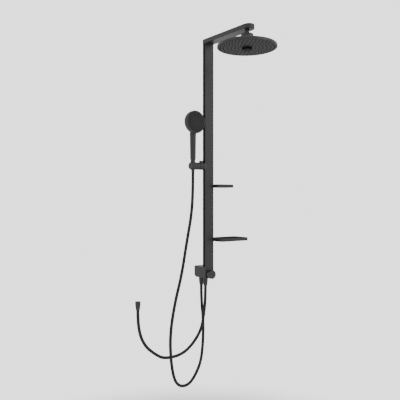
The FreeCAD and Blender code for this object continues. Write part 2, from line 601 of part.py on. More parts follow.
def head_face():
    plate = cyl(0, NECK_Y, HEAD_UNDER, Z, HEAD_R - 2.4, 3)
    plate = round_edges(plate, 1.0, lambda c, d: d is None and c.z < HEAD_UNDER + 1)
    mat = cyl(0, NECK_Y, HEAD_UNDER + 3, Z, HEAD_R - 5, 2.5)
    holes, tips = [], []
    for radius, count in NOZZLE_RINGS:
        for dx, dy in ring_of_points(radius, count):
            holes.append(cyl(dx, NECK_Y + dy, HEAD_UNDER - 1, Z, 2.2, 5))
            tips.append(cone(dx, NECK_Y + dy, HEAD_UNDER - 2, Z, 1.3, 2.0, 5.2))
    export("head_face_plate", cut(plate, *holes))
    export("head_nozzle_mat", fuse(mat, *tips))
    boss = cyl(0, NECK_Y, HEAD_UNDER - BOSS_H, Z, BOSS_R, BOSS_H)
    boss = round_edges(boss, 1.2, lambda c, d: d is None and c.z < HEAD_UNDER - BOSS_H + 1)
    export("head_centre_boss", boss)


# ---------------------------------------------------------------- trays
UPPER_TRAY = {"x": (26.0, 123.0), "y": (-121.0, -41.0), "z": 399.0, "corner": 10.0, "slots": 3}
LOWER_TRAY = {"x": (26.0, 196.0), "y": (-146.0, -36.0), "z": 145.0, "corner": 16.0, "slots": 5}
TRAY_H, TRAY_WALL, TRAY_FLOOR = 15.0, 2.5, 2.5
PAD_X, PAD_Y, PAD_H = 6.5, 16.0, 0.5     # raised pad that the bracket stands on


def tray(name, size):
    (x0, x1), (y0, y1), z0 = size["x"], size["y"], size["z"]
    body = box(x0, x1, y0, y1, z0, z0 + TRAY_H)
    body = round_edges(body, size["corner"], lambda c, d: along(d, Z))
    body = round_edges(body, 1.0, lambda c, d: c.z > z0 + TRAY_H - 0.1 or c.z < z0 + 0.1)
    w = TRAY_WALL
    inside = box(x0 + w, x1 - w, y0 + w, y1 - w, z0 + TRAY_FLOOR, z0 + TRAY_H + 1)
    inside = round_edges(inside, size["corner"] - w, lambda c, d: along(d, Z))
    neck_z = (z0 + 3.0, z0 + 11.0)
    way = SHOE_NECK + 0.2
    neck_way = box(x0 - 1, x0 + w + 1, COL_MID - way, COL_MID + way,
                   neck_z[0] - 0.2, neck_z[1] + 0.2)
    tools = [inside, neck_way]
    step = (y1 - y0) / (size["slots"] + 1)
    for i in range(size["slots"]):
        middle = y0 + step * (i + 1)
        slot = box(x0 + 24, x1 - 18, middle - 1.5, middle + 1.5, z0 - 1, z0 + 5)
        tools.append(round_edges(slot, 1.4, lambda c, d: along(d, Z)))
    screw_places = [(COL_MID + s * 10, z0 + 7) for s in (-1, 1)]
    tools += [cyl(x0 - 1, y, z, X, 1.6, 5) for y, z in screw_places]
    pad = box(x0 + w - 0.5, x0 + w + PAD_X, COL_MID - PAD_Y, COL_MID + PAD_Y,
              z0 + TRAY_FLOOR - 0.5, z0 + TRAY_FLOOR + PAD_H)
    export(name + "_tray", fuse(cut(body, *tools), pad.cut(neck_way)))

    foot = box(FOOT_IN, FOOT_OUT, COL_MID - SHOE_FOOT, COL_MID + SHOE_FOOT, *neck_z)
    neck = box(FOOT_OUT, x0 + w, COL_MID - SHOE_NECK, COL_MID + SHOE_NECK, *neck_z)
    flange = box(x0 + w, x0 + w + 4, COL_MID - 14, COL_MID + 14, z0 + TRAY_FLOOR + PAD_H, z0 + 12)
    holes = [cyl(x0, y, z, X, 1.55, 8) for y, z in screw_places]
    export(name + "_tray_bracket", cut(fuse(foot, neck, flange), *holes))
    screws = []
    for y, z in screw_places:
        head = cyl(x0 + w + 4, y, z, X, 2.8, 1.6)
        screws.append(fuse(head, cyl(x0 + 0.3, y, z, X, 1.5, w + 4)))
    export(name + "_tray_screws", *screws)


# ---------------------------------------------------------------- build
column_profile()
profile_screws()
water_pipes()
arm()
corner_elbow()
outlet_block()
wall_plates()
grub_screws()
bracket_post()
diverter_body()
cartridge()
knob()
connections()
hose("handset_hose", HANDSET_ROUTE)
hose("supply_hose", SUPPLY_ROUTE)
slider()
release_button()
holder_cup()
handset_nut()
handset_shell()
handset_front()
handset_inlet()
neck()
seat_ring()
swivel_housing()
head_shell()
head_face()
tray("upper", UPPER_TRAY)
tray("lower", LOWER_TRAY)
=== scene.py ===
# %% [markdown]
# # A rainfall shower column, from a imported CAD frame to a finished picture
# The real object is a flat black bar on the wall with an arm, a rain head, a handset in a
# sliding holder, two trays, a diverter block and two hoses. Its precise parts come from CAD and
# are never moved here. This script gives each one a finish, and rebuilds in finer mesh the parts
# whose look depends on it: the nozzles, the handset's casing, the button's spring and the hoses.

# %% Load the frame
import json
import math

import bmesh
import bpy
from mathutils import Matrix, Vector


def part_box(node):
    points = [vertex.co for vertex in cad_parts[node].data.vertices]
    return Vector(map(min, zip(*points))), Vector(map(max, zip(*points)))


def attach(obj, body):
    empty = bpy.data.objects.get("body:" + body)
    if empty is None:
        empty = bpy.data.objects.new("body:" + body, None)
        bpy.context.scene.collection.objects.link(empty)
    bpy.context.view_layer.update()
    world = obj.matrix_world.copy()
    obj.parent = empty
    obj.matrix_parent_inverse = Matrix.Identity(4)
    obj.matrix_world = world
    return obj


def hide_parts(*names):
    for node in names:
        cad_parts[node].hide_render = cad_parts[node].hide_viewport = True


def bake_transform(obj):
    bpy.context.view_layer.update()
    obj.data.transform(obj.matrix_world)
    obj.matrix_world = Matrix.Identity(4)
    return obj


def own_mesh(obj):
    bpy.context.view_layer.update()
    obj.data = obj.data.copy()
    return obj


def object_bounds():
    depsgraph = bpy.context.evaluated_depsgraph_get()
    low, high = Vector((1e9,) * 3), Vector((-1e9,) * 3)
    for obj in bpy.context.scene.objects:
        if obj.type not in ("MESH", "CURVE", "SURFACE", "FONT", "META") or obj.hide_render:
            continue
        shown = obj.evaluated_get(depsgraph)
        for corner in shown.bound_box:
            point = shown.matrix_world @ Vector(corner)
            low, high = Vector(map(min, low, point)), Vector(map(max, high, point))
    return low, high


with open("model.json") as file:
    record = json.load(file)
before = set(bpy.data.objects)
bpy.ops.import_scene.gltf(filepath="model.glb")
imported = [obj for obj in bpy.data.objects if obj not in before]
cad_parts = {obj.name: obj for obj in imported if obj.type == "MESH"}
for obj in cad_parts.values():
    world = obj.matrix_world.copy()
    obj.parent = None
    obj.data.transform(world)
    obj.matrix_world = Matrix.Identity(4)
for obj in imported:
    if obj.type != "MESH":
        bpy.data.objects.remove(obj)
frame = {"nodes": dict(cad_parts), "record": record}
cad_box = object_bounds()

MM = 0.001
nodes = frame["nodes"]

# %% [markdown]
# ## Camera
# A product picture of something tall is taken from low down and a little to the left, so that
# the underside of the head shows. The camera is level, which keeps the column's edges upright.
# It could be tilted instead, but then the uprights would lean together.

# %% Place the camera
CAMERA_AT = (-1.5676, -2.0366, 0.3401)
CAMERA_TURN, LEVEL = -37.75, math.radians(90)
LENS_MM, SENSOR_MM = 47.92, 36.0

camera = bpy.data.objects.new("camera", bpy.data.cameras.new("camera"))
bpy.context.scene.collection.objects.link(camera)
camera.location = CAMERA_AT
camera.rotation_euler = (LEVEL, 0, math.radians(CAMERA_TURN))
camera.data.lens = LENS_MM
camera.data.sensor_width = SENSOR_MM
bpy.context.scene.camera = camera
print("camera at", CAMERA_AT)

# %% [markdown]
# ## Small helpers
# Every rebuilt piece is made in the same few steps: a mesh from points and faces, smooth
# shading with crisp edges kept, and a body to ride on. Helpers keep the steps alike.


# %% Mesh helpers
def new_object(name, mesh):
    made = bpy.data.objects.new(name, mesh)
    bpy.context.scene.collection.objects.link(made)
    return made


def mesh_object(name, points, faces):
    """A closed mesh from points and faces, with its normals outwards and doubles merged."""
    mesh = bpy.data.meshes.new(name)
    mesh.from_pydata([tuple(p) for p in points], [], faces)
    work = bmesh.new()
    work.from_mesh(mesh)
    bmesh.ops.remove_doubles(work, verts=work.verts, dist=1e-6)
    bmesh.ops.recalc_face_normals(work, faces=work.faces)
    work.to_mesh(mesh)
    work.free()
    return new_object(name, mesh)


CREASE = math.radians(35)


def shade(thing, crease=CREASE):
    """Smooth shading that stays crisp where two faces meet at more than the crease angle."""
    mesh = thing.data
    mesh.polygons.foreach_set("use_smooth", [True] * len(mesh.polygons))
    work = bmesh.new()
    work.from_mesh(mesh)
    for edge in work.edges:
        edge.smooth = len(edge.link_faces) == 2 and edge.calc_face_angle(math.pi) < crease
    work.to_mesh(mesh)
    work.free()


def triangles(thing):
    return sum(len(face.vertices) - 2 for face in thing.data.polygons)


def finish_piece(piece, body, stands_for=()):
    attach(piece, body)
    if stands_for:
        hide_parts(*stands_for)
    print(piece.name, "triangles", triangles(piece), "on", body)


# %% [markdown]
# ## The hoses' lines
# A shower hose is a stiff, smooth tube. It can't make a corner, so its line is one smooth
# curve. A NURBS spline through a few listed control points gives that, where a chain of
# arcs would look like bent wire. The route repeats the CAD part's own points, in millimetres.

# %% Hose routes and sizes
HOSE_RADIUS = 7.0 * MM
HANDSET_HOSE_LENGTH, SUPPLY_HOSE_LENGTH = 1.55, 0.74
HOSE_TOP = -68
HANDSET_ROUTE = [
    (0, -22, HOSE_TOP), (0, -22, -140), (10, -25, -235), (5, -30, -330), (-15, -40, -425),
    (-55, -45, -485), (-100, -55, -515), (-155, -65, -510), (-195, -75, -470),
    (-220, -85, -380), (-225, -85, -260), (-200, -85, -125), (-160, -85, 5),
    (-130, -80, 145), (-100, -80, 280), (-90, -75, 400), (-90, -75, 472),
]
SUPPLY_ROUTE = [
    (0, -54, HOSE_TOP), (0, -54, -130), (-10, -55, -200), (-25, -55, -270), (-80, -55, -335),
    (-145, -55, -370), (-235, -55, -370), (-280, -55, -345), (-340, -55, -295),
    (-372, -54, -215), (-372, -54, -138),
]
STEPS_PER_POINT = 14


# %% Read the smooth line from the spline
def smooth_line(name, route):
    """Points along a NURBS spline whose control points are the route."""
    curve = bpy.data.curves.new(name, "CURVE")
    curve.dimensions = "3D"
    spline = curve.splines.new("NURBS")
    spline.points.add(len(route) - 1)
    for point, place in zip(spline.points, route):
        point.co = (place[0] * MM, place[1] * MM, place[2] * MM, 1)
    spline.order_u = 3
    spline.use_endpoint_u = True
    curve.resolution_u = STEPS_PER_POINT
    holder = new_object(name, curve)
    bpy.context.view_layer.update()
    line = bpy.data.meshes.new_from_object(holder.evaluated_get(
        bpy.context.evaluated_depsgraph_get()))
    points = [v.co.copy() for v in line.vertices]
    bpy.data.objects.remove(holder)
    bpy.data.meshes.remove(line)
    return points


def line_length(points):
    return sum((b - a).length for a, b in zip(points, points[1:]))


handset_line = smooth_line("handset_route", HANDSET_ROUTE)
supply_line = smooth_line("supply_route", SUPPLY_ROUTE)
print("handset hose line", round(line_length(handset_line), 3), "m of", HANDSET_HOSE_LENGTH)
print("supply hose line", round(line_length(supply_line), 3), "m of", SUPPLY_HOSE_LENGTH)


# %% Tube along a line
HOSE_SIDES = 20


def tube_along(name, points, radius, sides=HOSE_SIDES):
    """A closed round tube; each ring is turned as little as possible from the one before."""
    rings, faces = [], []
    tangent = (points[1] - points[0]).normalized()
    across = tangent.orthogonal().normalized()
    for i, here in enumerate(points):
        before, after = points[max(i - 1, 0)], points[min(i + 1, len(points) - 1)]
        tangent = (after - before).normalized()
        across = (across - tangent * across.dot(tangent)).normalized()
        beside = tangent.cross(across)
        for k in range(sides):
            angle = 2 * math.pi * k / sides
            rings.append(here + (across * math.cos(angle) + beside * math.sin(angle)) * radius)
    for i in range(len(points) - 1):
        for k in range(sides):
            low, nxt = i * sides + k, i * sides + (k + 1) % sides
            faces.append((low, nxt, nxt + sides, low + sides))
    last = (len(points) - 1) * sides
    faces.append(tuple(reversed(range(sides))))
    faces.append(tuple(last + k for k in range(sides)))
    tube = mesh_object(name, rings, faces)
    shade(tube)
    return tube


# %% [markdown]
# The handset's hose hangs from the block and ends in the handset's nut, so it has to follow the
# sliding holder and the tilting cup. One line is cut in three. The falling piece, down to the
# bottom of the loop, stays with the column. The rising piece, up to the slider, and the short top
# piece, between the slider and the cup, are plain tubes with their placement baked into the mesh.
# A slightly thinner tail inside the top piece rises with the nut as the handset is lifted, as the
# real hose is pulled up through the cup.

# %% The handset hose
JOIN_Z = 0.300
HOSE_GAP = 0.3 * MM
lowest = min(range(len(handset_line)), key=lambda i: handset_line[i].z)
joint = next(i for i in range(lowest, len(handset_line)) if handset_line[i].z > JOIN_Z)
fall_part, rise_part = handset_line[:lowest + 1], handset_line[lowest:joint + 1]
top_part = handset_line[joint:]
fall_length, top_length = line_length(fall_part), line_length(top_part)
hose_fall = tube_along("handset_hose_fall", fall_part, HOSE_RADIUS)
hose_rise = tube_along("handset_hose_rise", rise_part, HOSE_RADIUS)
hose_top = tube_along("handset_hose_top", top_part, HOSE_RADIUS)

TAIL_LENGTH = 78 * MM
tail_line = [p for p in top_part if p.z > top_part[-1].z - TAIL_LENGTH]
hose_tail = tube_along("handset_hose_tail", tail_line, HOSE_RADIUS - HOSE_GAP)
print("fall", round(fall_length, 3), "rise", round(line_length(rise_part), 3),
      "top", round(top_length, 3))

# %% The supply hose
supply_hose = tube_along("supply_hose_tube", supply_line, HOSE_RADIUS)
print("supply hose", round(line_length(supply_line), 3))

# %% [markdown]
# ## Writing shader maths as plain sums
# Finishes need a little arithmetic, such as a base roughness plus a share of some noise. Nodes
# could be linked one by one, but sums are easier to read. A Signal wraps one socket, and an
# expression on Signals adds the Math nodes. A Finish is a material with one method for nodes.


# %% Signal and Finish
class Signal:
    """A socket that can stand in a sum."""

    def __init__(self, finish, socket):
        self.finish, self.socket = finish, socket

    def _sum(self, operation, first, second):
        return self.finish.node("ShaderNodeMath", {"operation": operation}, {0: first, 1: second})

    def __add__(self, other):
        return self._sum("ADD", self, other)

    def __mul__(self, other):
        return self._sum("MULTIPLY", self, other)

    __radd__, __rmul__ = __add__, __mul__


class Finish:
    """A material built from nodes, on Object coordinates unless it says otherwise."""

    def __init__(self, name):
        self.material = bpy.data.materials.new(name)
        self.material.use_nodes = True
        self.tree = self.material.node_tree
        self.surface = self.tree.nodes["Principled BSDF"]
        self.place = self.node("ShaderNodeTexCoord", {}, {}, "Object")
        print("finish", name)

    def node(self, kind, settings, inputs, output=0):
        made = self.tree.nodes.new(kind)
        for name, value in settings.items():
            setattr(made, name, value)
        for name, value in inputs.items():
            self.feed(made.inputs[name], value)
        return Signal(self, made.outputs[output])

    def feed(self, socket, value):
        if isinstance(value, Signal):
            self.tree.links.new(value.socket, socket)
        else:
            socket.default_value = value

    def set(self, **inputs):
        """Feed the surface: base_color=... goes to Base Color, and so on."""
        for name, value in inputs.items():
            self.feed(self.surface.inputs[name.replace("_", " ").title()], value)

    def noise(self, scale, detail=3.0, place=None):
        return self.node("ShaderNodeTexNoise", {}, {
            "Vector": place or self.place, "Scale": scale, "Detail": detail})

    def stretched(self, size):
        return self.node("ShaderNodeMapping", {}, {"Vector": self.place, "Scale": size})

    def shades(self, mask, dark, light):
        """A colour between dark and light, by the mask."""
        mix = self.tree.nodes.new("ShaderNodeMix")
        mix.data_type = "RGBA"
        self.feed(mix.inputs[0], mask)
        mix.inputs[6].default_value = (*dark, 1)
        mix.inputs[7].default_value = (*light, 1)
        return Signal(self, mix.outputs[2])

    def bump(self, height, depth, strength=1.0):
        self.set(normal=self.node("ShaderNodeBump", {}, {
            "Strength": strength, "Distance": depth, "Height": height}))


def grey(value, warmth=0.0):
    return (value * (1 + warmth), value, value * (1 - warmth))


# %% [markdown]
# ## The black coating
# The profile, arm and fittings are powder coated: satin black, with a very fine orange peel
# and slow changes of gloss where the coat is thicker. A flat black would look like a hole. The
# peel is a small noise in the bump, and a broad noise moves the roughness by a few hundredths.

# %% Satin black metal
PEEL_SCALE, PEEL_DEPTH = 900.0, 0.02 * MM
BROAD_SCALE, BROAD_SHARE, FINE_SHARE = 7.0, 0.06, 0.05
TONE_SPREAD = 0.15


def satin_black(name, tone, roughness, peel=PEEL_SCALE, depth=PEEL_DEPTH, shine=0.5):
    finish = Finish(name)
    finish.surface.inputs["Specular IOR Level"].default_value = shine
    broad, fine = finish.noise(BROAD_SCALE), finish.noise(peel, 2.0)
    base = roughness - (BROAD_SHARE + FINE_SHARE) / 2
    finish.set(
        base_color=finish.shades(
            broad, grey(tone * (1 - TONE_SPREAD)), grey(tone * (1 + TONE_SPREAD))),
        roughness=broad * BROAD_SHARE + fine * FINE_SHARE + base,
    )
    finish.bump(fine, depth)
    return finish.material


finishes = {"black_metal": satin_black("satin_black_metal", 0.028, 0.36)}

# %% [markdown]
# The handset, the trays and the holder are moulded in plastic and match the metal. Moulded
# plastic has a finer, sharper grain than a powder coat and is a little less glossy.

# %% Matching black plastic
finishes["black_plastic"] = satin_black(
    "satin_black_plastic", 0.026, 0.42, peel=2200.0, depth=0.012 * MM)

# %% [markdown]
# The two spray plates are darker than their casings, and flatter. They are moulded with a fine
# texture that hides water marks, so they mirror little. The boss in the head's middle is the
# darkest part of all.

# %% Spray plates and boss
spray_plate = satin_black(
    "dark_spray_plate", 0.018, 0.58, peel=2600.0, depth=0.02 * MM, shine=0.34)
dark_boss = satin_black(
    "deep_black_boss", 0.012, 0.50, peel=2200.0, depth=0.012 * MM, shine=0.03)

# %% [markdown]
# The nozzles are silicone rubber: matt, with a dusty look from fine noise. Their colour is partly
# the black rubber's own and partly painted shade: it is set a little darker than the plates, so
# that the rings read as dark dots, standing in for the shade on the nozzles' sides.

# %% Silicone rubber
# The rubber's tone of 0.010 is partly painted shade, darker than the rubber alone to stand for the
# shade on the nozzles' sides.
finishes["dark_rubber"] = satin_black(
    "matt_silicone_with_painted_shade", 0.010, 0.70, peel=1500.0, depth=0.02 * MM, shine=0.12)


# %% [markdown]
# Inside are turned brass, stainless steel, pale acetal and a white water pipe. They show only at
# the gaps and the back. Turned metal has fine lines along its length, made by noise squashed one
# way. The plastics have only a faint cloud, because they are smooth and nearly hidden.


# %% Metals and inner plastics
def turned_metal(name, dark, light, roughness):
    finish = Finish(name)
    lines = finish.noise(60.0, 4.0, finish.stretched((40, 40, 1)))
    finish.set(
        base_color=finish.shades(lines, dark, light),
        metallic=1.0,
        roughness=lines * 0.16 + (roughness - 0.08),
    )
    finish.bump(lines, 0.01 * MM)
    return finish.material


def plain_moulding(name, tone, roughness):
    finish = Finish(name)
    cloud = finish.noise(40.0, 4.0)
    finish.set(
        base_color=finish.shades(cloud, grey(tone * 0.94, 0.01), grey(tone, 0.02)),
        roughness=cloud * 0.10 + (roughness - 0.05),
    )
    finish.bump(cloud, 0.01 * MM)
    return finish.material


finishes["steel"] = turned_metal("turned_steel", grey(0.28), grey(0.42), 0.30)
finishes["brass"] = turned_metal("turned_brass", (0.55, 0.41, 0.20), (0.70, 0.55, 0.30), 0.28)
finishes["glide_plastic"] = plain_moulding("acetal", 0.55, 0.45)
finishes["water_pipe"] = plain_moulding("white_pipe", 0.80, 0.40)

# %% [markdown]
# ## The hose sheath
# Both hoses have a smooth black sheath over a spiral. Outside, it shows as a very slight ridge
# that winds round the hose. The tubes carry a map of their own, so the ridge follows the bends:
# one unit of U is once round, and V is the length in metres.

# %% Sheath finish
RIDGES_PER_METRE, RIDGE_DEPTH, RIDGE_STRENGTH = 260.0, 0.06 * MM, 0.5


def sheath():
    finish = Finish("hose_sheath")
    finish.surface.inputs["Specular IOR Level"].default_value = 0.2
    uv = finish.node("ShaderNodeUVMap", {"uv_map": "along"}, {})
    parts = finish.tree.nodes.new("ShaderNodeSeparateXYZ")
    finish.feed(parts.inputs[0], uv)
    around, length = Signal(finish, parts.outputs[0]), Signal(finish, parts.outputs[1])
    turn = (length * RIDGES_PER_METRE + around) * (2 * math.pi)
    ridge = finish.node("ShaderNodeMath", {"operation": "SINE"}, {0: turn})
    cloud = finish.noise(25.0)
    finish.set(
        base_color=finish.shades(cloud, grey(0.016), grey(0.024)),
        roughness=cloud * 0.08 + 0.42,
    )
    finish.bump(ridge * 0.5 + 0.5, RIDGE_DEPTH, RIDGE_STRENGTH)
    return finish.material


finishes["hose_sheath"] = sheath()


# %% Map for the tubes
def map_along(tube, points, sides=HOSE_SIDES):
    """U goes once round the tube and V runs along it in metres."""
    lengths = [0.0]
    for a, b in zip(points, points[1:]):
        lengths.append(lengths[-1] + (b - a).length)
    layer = tube.data.uv_layers.new(name="along")
    for face in tube.data.polygons:
        columns = [tube.data.loops[k].vertex_index % sides for k in face.loop_indices]
        wraps = max(columns) - min(columns) > sides / 2
        for k, column in zip(face.loop_indices, columns):
            row = tube.data.loops[k].vertex_index // sides
            turn = column + sides if wraps and column < sides / 2 else column
            layer.data[k].uv = (turn / sides, lengths[min(row, len(lengths) - 1)])


for tube, points in ((hose_fall, fall_part), (hose_rise, rise_part), (hose_top, top_part),
                     (hose_tail, tail_line), (supply_hose, supply_line)):
    map_along(tube, points)
    tube.data.materials.append(finishes["hose_sheath"])

# %% [markdown]
# ## The finishes on the CAD nodes
# The record says which material slot each node has, so one loop dresses them all.

# %% Dress the CAD nodes
for part in frame["record"]["subparts"]:
    thing = nodes[part["node"]]
    for slot in thing.material_slots:
        slot.material = finishes[part["material_slot"]]
for name, finish in (("head_face_plate", spray_plate), ("handset_face_plate", spray_plate),
                     ("head_centre_boss", dark_boss)):
    for slot in nodes[name].material_slots:
        slot.material = finish

# %% [markdown]
# ## Hoses ride
# The falling piece and the supply hose ride on the root body and the tail on the hose end; the
# rising and top pieces have their placement baked into the mesh.

# %% Bodies of the hoses
cup_x, cup_y = HANDSET_ROUTE[-1][0] * MM, HANDSET_ROUTE[-1][1] * MM


def bend_over(piece):
    """Bake the piece's placement into its mesh; it rides on no body."""
    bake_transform(piece)


finish_piece(hose_fall, "root", ["handset_hose"])
bend_over(hose_rise)
bend_over(hose_top)
finish_piece(hose_tail, "hose_end")
finish_piece(supply_hose, "root", ["supply_hose"])

# %% [markdown]
# ## Turned shapes
# A nozzle or a casing that is round about an axis is an outline spun about it. The outline is a
# short list of (radius, height) points, and the spin is a loop, so its faces stay even.


# %% Turn an outline
def in_metres(outline):
    return [(r * MM, h * MM) for r, h in outline]


def turned(name, outline, at, axis, sides):
    """A closed shape from (radius, height) points that start and end at radius 0."""
    axis = Vector(axis)
    across = axis.orthogonal().normalized()
    beside = axis.cross(across)
    points, faces = [], []
    for radius, height in outline:
        for k in range(sides):
            angle = 2 * math.pi * k / sides
            turn = across * math.cos(angle) + beside * math.sin(angle)
            points.append(Vector(at) + axis * height + turn * radius)
    for i in range(len(outline) - 1):
        for k in range(sides):
            low, nxt = i * sides + k, i * sides + (k + 1) % sides
            faces.append((low, nxt, nxt + sides, low + sides))
    made = mesh_object(name, points, faces)
    shade(made)
    return made


# %% [markdown]
# ## The handset's casing
# The casing is one moulding: a tapered handle that flows into a shallow round dish. Two turned
# shapes give both forms, but where they meet a real moulding has a soft fillet. A voxel remesh
# joins them into one skin, and a few rounds of smoothing near the joint melt it into a fillet.

# %% Handle and dish
HANDLE_SIDES, DISH_SIDES = 64, 128
shell_low, shell_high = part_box("handset_shell")
disc_at_x = (shell_low.x + shell_high.x) / 2
disc_radius = (shell_high.x - shell_low.x) / 2
disc_at_z = shell_high.z - disc_radius
handle_y = cup_y
handle = turned("handle", in_metres([
    (0, 0), (11.6, 0), (12.6, 0.6), (13.0, 2.0), (13.6, 40), (14.4, 90), (15.0, 122),
    (14.6, 132), (11.0, 139), (0, 141)]),
    (disc_at_x, handle_y, shell_low.z), (0, 0, 1), HANDLE_SIDES)
dish = turned("dish", in_metres([
    (0, 66), (12, 66.1), (24, 66.8), (33, 68.0), (40, 69.8), (45.5, 72.4), (49.4, 76.0),
    (51.4, 80.0), (52, 84.0), (52, 94), (0, 94)]),
    (disc_at_x, 0, disc_at_z), (0, -1, 0), DISH_SIDES)
print("handset disc radius", round(disc_radius, 4), "at height", round(disc_at_z, 4))


# %% Join the two with a fillet
CASING_VOXEL, FILLET_ROUNDS = 1.1 * MM, 28
FILLET_REACH, FILLET_BEHIND = 20 * MM, 12 * MM


def joined(name, shapes):
    """Several closed shapes as one object, their faces kept apart."""
    work = bmesh.new()
    for shape in shapes:
        work.from_mesh(shape.data)
        bpy.data.objects.remove(shape)
    mesh = bpy.data.meshes.new(name)
    work.to_mesh(mesh)
    work.free()
    return new_object(name, mesh)


def evaluated_mesh(thing):
    bpy.context.view_layer.update()
    seen = thing.evaluated_get(bpy.context.evaluated_depsgraph_get())
    return bpy.data.meshes.new_from_object(seen)


def one_skin(name, shapes, voxel):
    """A voxel remesh of the shapes together, as a plain mesh object."""
    rough = joined(name + "_rough", shapes)
    remesh = rough.modifiers.new("skin", "REMESH")
    remesh.mode, remesh.voxel_size = "VOXEL", voxel
    skin = new_object(name, evaluated_mesh(rough))
    bpy.data.objects.remove(rough)
    return skin


casing = one_skin("handset_casing", [handle, dish], CASING_VOXEL)
joint_z = disc_at_z - disc_radius
work = bmesh.new()
work.from_mesh(casing.data)
near = [v for v in work.verts if abs(v.co.z - joint_z) < FILLET_REACH
        and v.co.y > handle_y - FILLET_BEHIND]
for some in [work.verts] + [near] * FILLET_ROUNDS:
    bmesh.ops.smooth_vert(work, verts=some, factor=0.5, use_axis_x=True, use_axis_y=True,
                          use_axis_z=True)
work.to_mesh(casing.data)
work.free()
shade(casing)
casing.data.materials.append(finishes["black_plastic"])
finish_piece(casing, "handset", ["handset_shell"])

# %% [markdown]
# ## The release button's spring
# Under the button sits a small coil spring. It is drawn by Geometry Nodes as a round wire swept
# along a spiral, because its shape follows a rule: turns, radius and height. The real spring
# flattens as the button goes down; this coil is kept as a fixed mesh. Every geometry tree starts
# alike, so a helper makes the empty tree first.


# %% A geometry tree with named inputs
def new_tree(name, inputs, output):
    """An empty tree, with the calls that add a node and a link to it."""
    tree = bpy.data.node_groups.new(name, "GeometryNodeTree")
    for label, kind in inputs.items():
        tree.interface.new_socket(label, in_out="INPUT", socket_type="NodeSocket" + kind)
    tree.interface.new_socket(output, in_out="OUTPUT", socket_type="NodeSocketGeometry")
    return tree, tree.nodes.new, tree.links.new


# %% Coil spring
SPIRAL_STEPS, WIRE_STEPS = 28, 10


def coil_tree():
    """A round wire swept along an upright spiral."""
    tree, add, link = new_tree("coil_spring", {
        "Turns": "Float", "Radius": "Float", "Height": "Float", "Wire radius": "Float",
        "Wire finish": "Material"}, "Coil")
    given, result = add("NodeGroupInput"), add("NodeGroupOutput")
    spiral, wire = add("GeometryNodeCurveSpiral"), add("GeometryNodeCurvePrimitiveCircle")
    swept, real = add("GeometryNodeCurveToMesh"), add("GeometryNodeRealizeInstances")
    dressed = add("GeometryNodeSetMaterial")
    spiral.inputs["Resolution"].default_value = SPIRAL_STEPS
    wire.inputs["Resolution"].default_value = WIRE_STEPS
    swept.inputs["Fill Caps"].default_value = True
    link(given.outputs["Turns"], spiral.inputs["Rotations"])
    link(given.outputs["Radius"], spiral.inputs["Start Radius"])
    link(given.outputs["Radius"], spiral.inputs["End Radius"])
    link(given.outputs["Height"], spiral.inputs["Height"])
    link(given.outputs["Wire radius"], wire.inputs["Radius"])
    link(spiral.outputs["Curve"], swept.inputs["Curve"])
    link(wire.outputs["Curve"], swept.inputs["Profile Curve"])
    link(swept.outputs["Mesh"], real.inputs["Geometry"])
    link(real.outputs["Geometry"], dressed.inputs["Geometry"])
    link(given.outputs["Wire finish"], dressed.inputs["Material"])
    link(dressed.outputs["Geometry"], result.inputs["Coil"])
    return tree


def run_tree(name, tree, holder, values):
    """Set the tree's named inputs by identifier, run it on holder and keep a plain mesh."""
    modifier = holder.modifiers.new(name, "NODES")
    modifier.node_group = tree
    sockets = {s.name: s.identifier for s in tree.interface.items_tree if s.in_out == "INPUT"}
    for key, value in values.items():
        modifier[sockets[key]] = value
    made = new_object(name, evaluated_mesh(holder))
    bpy.data.objects.remove(holder)
    return made


WIRE_RADIUS, COIL_TURNS, PRESSED = 0.6 * MM, 6.0, 0.72
coil_low, coil_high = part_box("slider_button_spring")
coil = run_tree(
    "button_coil_spring", coil_tree(), new_object("coil", bpy.data.meshes.new("coil")), {
        "Turns": COIL_TURNS, "Wire radius": WIRE_RADIUS, "Wire finish": finishes["steel"],
        "Radius": (coil_high.x - coil_low.x) / 2 - WIRE_RADIUS,
        "Height": coil_high.z - coil_low.z - 2 * WIRE_RADIUS})
coil_middle = ((coil_low.x + coil_high.x) / 2, (coil_low.y + coil_high.y) / 2)
for vertex in coil.data.vertices:
    vertex.co += Vector((*coil_middle, coil_low.z + WIRE_RADIUS))
shade(coil)
finish_piece(coil, "slider", ["slider_button_spring"])
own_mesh(coil)

# %% [markdown]
# ## Nozzles
# Both spray faces have rings of rubber nozzles. Modelling each by hand would be slow, and a
# texture would be flat from the side. Geometry Nodes put one turned nozzle on every point of
# the rings, on top of the mat behind the face, which the nozzles are moulded with.


# %% The tree that repeats a nozzle
def nozzle_tree():
    """Mat geometry plus one copy of Nozzle on each loose point, all in one finish."""
    tree, add, link = new_tree("nozzles_on_rings", {
        "Points": "Geometry", "Nozzle": "Object", "Mat": "Object", "Nozzle scale": "Float",
        "Rubber": "Material"}, "Nozzles")
    given, result = add("NodeGroupInput"), add("NodeGroupOutput")
    nozzle, mat = add("GeometryNodeObjectInfo"), add("GeometryNodeObjectInfo")
    copies, joined = add("GeometryNodeInstanceOnPoints"), add("GeometryNodeJoinGeometry")
    real, dressed = add("GeometryNodeRealizeInstances"), add("GeometryNodeSetMaterial")
    link(given.outputs["Nozzle"], nozzle.inputs["Object"])
    link(given.outputs["Mat"], mat.inputs["Object"])
    link(given.outputs["Points"], copies.inputs["Points"])
    link(nozzle.outputs["Geometry"], copies.inputs["Instance"])
    link(given.outputs["Nozzle scale"], copies.inputs["Scale"])
    link(copies.outputs["Instances"], joined.inputs["Geometry"])
    link(mat.outputs["Geometry"], joined.inputs["Geometry"])
    link(joined.outputs["Geometry"], real.inputs["Geometry"])
    link(real.outputs["Geometry"], dressed.inputs["Geometry"])
    link(given.outputs["Rubber"], dressed.inputs["Material"])
    link(dressed.outputs["Geometry"], result.inputs["Nozzles"])
    return tree


NOZZLES = nozzle_tree()


